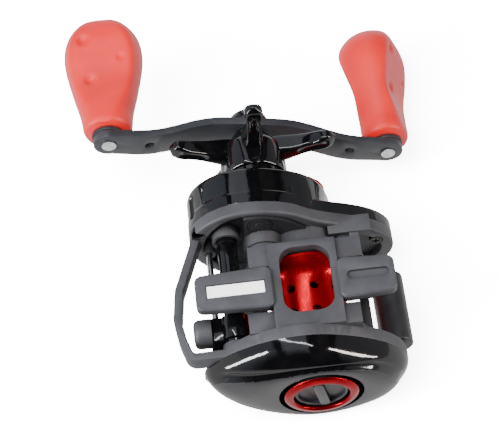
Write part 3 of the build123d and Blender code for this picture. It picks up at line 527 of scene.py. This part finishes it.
def knob_piece(name, way, spin):
    """Paddle knob: a turned egg cut by two hollowed faces that meet the sides at a soft edge."""
    around, levels = 168, 96
    length = KNOB_TOP - KNOB_BASE
    rings = []
    for level in range(levels + 1):
        s = level / levels
        t = 1 - (1 - s) ** 1.7 if s > 0 else 0
        width = table_value(KNOB_TABLE, t, 1)
        depth = table_value(KNOB_TABLE, t, 2)
        ring = []
        for i in range(around):
            turn = 2 * math.pi * i / around
            face = depth / max(abs(math.sin(turn)), 1e-3)
            r = -EDGE_SOFT * math.log(math.exp(-width / EDGE_SOFT) + math.exp(-min(face, 60) / EDGE_SOFT))
            u, w = r * math.cos(turn), r * math.sin(turn)
            side = 1 if w > 0 else -1
            for du, height, radius, sink in DIMPLES:
                gap = math.hypot(u - du * side * -1, (t - height) * length)
                if gap < radius * 1.5 and abs(math.sin(turn)) > 0.4:
                    w -= side * sink * 0.5 * (1 + math.cos(math.pi * min(gap / (radius * 1.5), 1)))
            ring.append((u, KNOB_BASE + t * length, w))
        rings.append(ring)
    turned_by = math.radians(spin)
    centre = (DRIVE[0] + way * HANDLE_HALF * math.cos(HANDLE_TURN),
              DRIVE[1] - way * HANDLE_HALF * math.sin(HANDLE_TURN))
    cosine, sine = math.cos(turned_by), math.sin(turned_by)
    placed = [[(centre[0] + u * cosine + w * sine, y, centre[1] - u * sine + w * cosine)
               for u, y, w in ring] for ring in rings]
    return loft(name, placed, FINISH["knob_red"], 60)


stand_for(knob_piece("front_knob_grip", 1, 0), "front_knob", "knob_red", "knob_front")
stand_for(knob_piece("rear_knob_grip", -1, 68), "rear_knob", "knob_red", "knob_rear")


# ---------------------------------------------------------------- star drag
# reach from the axis, half width, lowest and highest y
STAR_ARM = ((6.0, 4.3, 54.3, 62.6), (11.0, 3.5, 54.4, 62.2), (16.0, 2.5, 54.5, 61.4), (21.0, 2.4, 54.6, 60.7),
            (25.0, 3.0, 54.9, 60.0), (27.4, 2.5, 55.7, 59.4), (28.8, 0.5, 57.0, 58.2))


def star_wheel():
    """Hub with a groove under each arm, and five scooped arms."""
    around = 200
    levels = ((8.8, 48.4, 0), (10.7, 48.3, 0.1), (11.0, 48.7, 0.25), (11.0, 50.5, 0.4), (11.0, 53.0, 0.6),
              (11.0, 56.0, 0.85), (10.9, 58.0, 1.0), (10.6, 59.2, 1.0), (9.6, 60.6, 0.8), (8.4, 61.8, 0.6),
              (7.5, 63.0, 0.3), (7.0, 64.0, 0.1), (6.4, 64.4, 0.0), (2.7, 64.4, 0.0))
    arm_turns = [-(STAR_FIRST_ARM + 2 * math.pi * k / STAR_ARMS) for k in range(STAR_ARMS)]
    rings = []
    for radius, y, share in levels:
        ring = []
        for i in range(around):
            turn = 2 * math.pi * i / around
            nearest = min(abs(angle_between(turn, arm_turn)) for arm_turn in arm_turns)
            groove = 1.3 * share * math.exp(-(nearest * radius / (1.2 + 1.6 * share)) ** 2)
            r = radius - groove
            ring.append((DRIVE[0] + r * math.cos(turn), y, DRIVE[1] + r * math.sin(turn)))
        rings.append(ring)
    hub = loft("star_hub", rings, FINISH["gloss_black"], 50, (False, False))
    pieces = [hub]
    for turn in arm_turns:
        out, across = (math.cos(turn), math.sin(turn)), (-math.sin(turn), math.cos(turn))
        rings = []
        steps = 44
        for step in range(steps + 1):
            reach = 6.0 + (STAR_REACH - 6.0) * (1 - (1 - step / steps) ** 1.4)
            half, low, high = (table_value(STAR_ARM, reach, c) for c in (1, 2, 3))
            ring = []
            for i in range(48):
                a = 2 * math.pi * i / 48
                c, s = math.cos(a), math.sin(a)
                u = half * math.copysign(abs(c) ** 0.62, c)
                v = (high + low) / 2 + (high - low) / 2 * math.copysign(abs(s) ** 0.62, s)
                if s < 0:
                    scoop = math.exp(-((reach - 20.5) / 4.6) ** 4) * math.exp(-(u / 1.5) ** 4)
                    v += 1.3 * scoop
                ring.append((DRIVE[0] + out[0] * reach + across[0] * u, v,
                             DRIVE[1] + out[1] * reach + across[1] * u))
            rings.append(ring)
        pieces.append(loft("star_arm", rings, FINISH["gloss_black"], 60))
    return joined("star_wheel", pieces)


stand_for(star_wheel(), "star", "gloss_black", "drag_star")

# ---------------------------------------------------------------- parts finished from their own solids
FINISH_OF = {"dial_bezel": "bezel_red"}
for node_name, body, width in (("frame", "reel_body", 0.35), ("gear_side_cover", "reel_body", 0.3),
                               ("handle_arm", "crank", 0.45), ("thumb_bar", "thumb_lever", 0.25),
                               ("line_guide", "guide_carriage", 0.3), ("pawl_cap", "guide_carriage", 0.2),
                               ("nut_cover", "crank", 0.2), ("brake_dial", "dial", 0.25),
                               ("tension_cap", "cap", 0.15), ("spool", "spool_assembly", 0.0),
                               ("dial_bezel", "reel_body", 0.12), ("worm_shield", "reel_body", 0.1),
                               ("knob_spindles", "crank", 0.2), ("knob_collars", "crank", 0.2),
                               ("arm_washer", "crank", 0.15), ("cover_screws", "reel_body", 0.08)):
    slot_name = SLOT_OF[node_name]
    finish = FINISH[FINISH_OF.get(node_name, slot_name)]
    stand_for(softened(node_name, finish, width), body, slot_name, node_name)


# ---------------------------------------------------------------- date-stamp ring
def tick_ring_tree():
    """Geometry nodes: bars set radially round a circle in the XZ plane, by count, radius and bar size."""
    tree = bpy.data.node_groups.new("tick_ring", "GeometryNodeTree")
    face = tree.interface
    face.new_socket("Geometry", in_out="OUTPUT", socket_type="NodeSocketGeometry")
    for label, kind, value in (("Count", "NodeSocketInt", 12), ("Radius", "NodeSocketFloat", 0.003),
                               ("Size", "NodeSocketVector", (0.0007, 0.0002, 0.0003)),
                               ("Place", "NodeSocketVector", (0.0, 0.0, 0.0)),
                               ("Material", "NodeSocketMaterial", None)):
        socket = face.new_socket(label, in_out="INPUT", socket_type=kind)
        if value is not None:
            socket.default_value = value
    given = add(tree, "NodeGroupInput").outputs
    circle = add(tree, "GeometryNodeMeshCircle", Vertices=given["Count"], Radius=given["Radius"])
    bar = add(tree, "GeometryNodeMeshCube", Size=given["Size"])
    index = add(tree, "GeometryNodeInputIndex")
    share = add(tree, "ShaderNodeMath", {"operation": "DIVIDE"}, i0=index.outputs[0], i1=given["Count"])
    turn = add(tree, "ShaderNodeMath", {"operation": "MULTIPLY"}, i0=share.outputs[0], i1=2 * math.pi)
    spin = add(tree, "ShaderNodeCombineXYZ", Z=turn.outputs[0])
    copies = add(tree, "GeometryNodeInstanceOnPoints", Points=circle.outputs["Mesh"],
                 Instance=bar.outputs["Mesh"], Rotation=spin.outputs["Vector"])
    stood = add(tree, "GeometryNodeTransform", Geometry=copies.outputs["Instances"],
                Rotation=(math.pi / 2, 0, 0), Translation=given["Place"])
    solid = add(tree, "GeometryNodeRealizeInstances", Geometry=stood.outputs["Geometry"])
    coated = add(tree, "GeometryNodeSetMaterial", Geometry=solid.outputs["Geometry"],
                 Material=given["Material"])
    out = add(tree, "NodeGroupOutput")
    tree.links.new(coated.outputs["Geometry"], out.inputs["Geometry"])
    return tree


TICK_RING = tick_ring_tree()


def tick_ring(name, material, **values):
    """One ring of bars as a plain mesh."""
    mesh = bpy.data.meshes.new(name)
    made = bpy.data.objects.new(name, mesh)
    bpy.context.scene.collection.objects.link(made)
    nodes = made.modifiers.new("ring", "NODES")
    nodes.node_group = TICK_RING
    for item in TICK_RING.interface.items_tree:
        if item.in_out == "INPUT":
            value = material if item.name == "Material" else values.get(item.name)
            if value is not None:
                nodes[item.identifier] = value
    graph = bpy.context.evaluated_depsgraph_get()
    made.data = bpy.data.meshes.new_from_object(made.evaluated_get(graph))
    made.modifiers.clear()
    return made


STAMP = (8.6, 4.9)
PANEL_FACE = 24.6


def date_stamp():
    """Blank date-stamp insert: a rim, twelve month ticks and a plain centre, all without figures."""
    material = FINISH["satin_black"]
    sunk, proud = PANEL_FACE + 0.05, PANEL_FACE - 0.14
    rim = turned("stamp_rim", STAMP, ((3.5, sunk), (3.5, proud), (3.85, proud), (3.85, sunk)), material, 72)
    core = turned("stamp_core", STAMP, ((0.02, sunk), (0.02, proud + 0.02), (1.5, proud + 0.02), (1.7, sunk)),
                  material, 48)
    ticks = tick_ring("stamp_ticks", material, Count=12, Radius=2.6 * MM,
                      Size=(1.0 * MM, 0.32 * MM, 0.3 * MM),
                      Place=(STAMP[0] * MM, PANEL_FACE * MM, STAMP[1] * MM))
    return joined("date_stamp", [rim, core, ticks])


stand_for(date_stamp(), "reel_body", "satin_black")


# ---------------------------------------------------------------- camera, floor and light
def camera():
    """Looks up at the reel's foot side from the palm side, as it lies on its top."""
    azimuth, tilt, roll = math.radians(-0.64), math.radians(32.19), math.radians(6.07)
    distance, focal, shift_right, shift_down = 461.2, 1503.5, -13.88, -21.64
    ahead = Vector((math.sin(azimuth) * math.sin(tilt), math.cos(azimuth) * math.sin(tilt), math.cos(tilt)))
    level = Vector((-math.cos(azimuth), math.sin(azimuth), 0))
    fall = ahead.cross(level)
    right = math.cos(roll) * level + math.sin(roll) * fall
    down = -math.sin(roll) * level + math.cos(roll) * fall
    spot = (-distance * ahead + shift_right * right + shift_down * down) * MM
    data = bpy.data.cameras.new("camera")
    data.sensor_fit = "HORIZONTAL"
    data.sensor_width = 36.0
    data.lens = 36.0 * focal / 500
    data.clip_start, data.clip_end = 0.01, 20
    made = bpy.data.objects.new("camera", data)
    made.matrix_world = Matrix.Translation(spot) @ Matrix((right, -down, -ahead)).transposed().to_4x4()
    bpy.context.scene.collection.objects.link(made)
    bpy.context.scene.camera = made
    return made


def floor():
    """Pale one-sided sheet that the reel lies on: it shows only from below, so that a view from
    above isn't blocked, and it neither lights nor shades the reel."""
    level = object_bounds()[1].z + 0.0006
    half = 3.0
    mesh = bpy.data.meshes.new("floor")
    corners = [(x * half, y * half, level) for x, y in ((-1, -1), (-1, 1), (1, 1), (1, -1))]
    mesh.from_pydata(corners, [], [(0, 1, 2, 3)])
    made = bpy.data.objects.new("floor", mesh)
    bpy.context.scene.collection.objects.link(made)
    material, tree, shader = blank("pale_paper")
    paper = add(tree, "ShaderNodeBsdfDiffuse", Color=(3.6, 3.6, 3.64, 1.0))
    glow = add(tree, "ShaderNodeEmission", Color=(1.0, 1.0, 1.0, 1.0), Strength=5.0)
    both = add(tree, "ShaderNodeAddShader", i0=paper.outputs[0], i1=glow.outputs[0])
    clear = add(tree, "ShaderNodeBsdfTransparent")
    side = add(tree, "ShaderNodeNewGeometry").outputs["Backfacing"]
    mix = add(tree, "ShaderNodeMixShader", Fac=side)
    out = [n for n in tree.nodes if n.type == "OUTPUT_MATERIAL"][0]
    tree.links.new(both.outputs["Shader"], mix.inputs[1])
    tree.nodes.remove(shader)
    tree.links.new(clear.outputs["BSDF"], mix.inputs[2])
    tree.links.new(mix.outputs["Shader"], out.inputs["Surface"])
    mesh.materials.append(material)
    for ray in ("diffuse", "glossy", "transmission", "shadow", "volume_scatter"):
        setattr(made, "visible_" + ray, False)
    made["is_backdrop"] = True
    return made


def area_light(name, spot, target, size, power, tint="#FFFFFF", mirrored=False):
    data = bpy.data.lights.new(name, "AREA")
    data.shape = "RECTANGLE"
    data.size, data.size_y = size
    data.energy = power
    data.color = colour(tint)[:3]
    made = bpy.data.objects.new(name, data)
    made.location = spot
    made.rotation_euler = (Vector(target) - Vector(spot)).to_track_quat("-Z", "Y").to_euler()
    made.visible_glossy = mirrored
    bpy.context.scene.collection.objects.link(made)
    return made


PANELS = ((-1.00, "#A9AAAE"), (-0.64, "#8C8D92"), (-0.61, "#08080A"), (-0.54, "#08080A"), (-0.52, "#4A4840"),
          (-0.34, "#4A4840"), (-0.32, "#060607"), (-0.12, "#060607"), (-0.10, "#E8EEFA"), (0.30, "#F4F8FF"),
          (0.32, "#0A0A0C"), (0.42, "#0A0A0C"), (0.44, "#B8C0D0"), (0.85, "#C8CEDA"), (0.87, "#FFFFFF"))


def world_light():
    """White bench around the reel, and a room over it of bright and dark bands that the gloss mirrors.
    Bands run by direction along X; the dark patch is the side the camera stands on. The backdrop that
    the camera sees directly is plain white all round."""
    world = bpy.data.worlds.new("studio")
    bpy.context.scene.world = world
    world.use_nodes = True
    tree = world.node_tree
    tree.nodes.clear()
    source = add(tree, "ShaderNodeTexCoord").outputs["Generated"]
    axes = add(tree, "ShaderNodeSeparateXYZ", Vector=source)
    along = add(tree, "ShaderNodeMapRange", Value=axes.outputs["X"], From_Min=-1.0, From_Max=1.0)
    bands = ramp(tree, along.outputs["Result"], [((x + 1) / 2, code) for x, code in PANELS])
    towards = add(tree, "ShaderNodeVectorMath", {"operation": "DOT_PRODUCT"}, i0=source,
                  i1=(0.0, -0.884, -0.468))
    patch = ramp(tree, towards.outputs["Value"], ((0.60, "#000000"), (0.80, "#FFFFFF")))
    room = add(tree, "ShaderNodeMix", {"data_type": "RGBA"}, Factor=patch, i6=bands, i7=colour("#101012"))
    bench = add(tree, "ShaderNodeMapRange", Value=axes.outputs["Z"], From_Min=-0.04, From_Max=0.04)
    shade = add(tree, "ShaderNodeMix", {"data_type": "RGBA"}, Factor=bench.outputs["Result"],
                i6=room.outputs[2], i7=colour("#FFFFFF"))
    back = add(tree, "ShaderNodeBackground", Color=shade.outputs[2], Strength=1.3)
    paper = add(tree, "ShaderNodeBackground", Color=(1.0, 1.0, 1.0, 1.0), Strength=7.0)
    seen = add(tree, "ShaderNodeLightPath").outputs["Is Camera Ray"]
    mix = add(tree, "ShaderNodeMixShader", Fac=seen, i1=back.outputs["Background"],
              i2=paper.outputs["Background"])
    out = add(tree, "ShaderNodeOutputWorld")
    tree.links.new(mix.outputs["Shader"], out.inputs["Surface"])


camera()
floor()
world_light()
area_light("key", (0.35, -0.25, -0.75), (0, 0, 0.02), (0.55, 0.55), 20.0)
area_light("strip_left", (0.62, -0.25, -0.35), (0, 0.02, 0.02), (0.07, 0.7), 9.0, mirrored=True)
area_light("strip_right", (-0.62, -0.2, -0.42), (0, 0.02, 0.02), (0.06, 0.7), 7.0, "#FFF4EC", mirrored=True)
area_light("window", (0.12, 0.1, -0.95), (0, 0.02, 0.02), (0.05, 0.8), 3.0, mirrored=True)
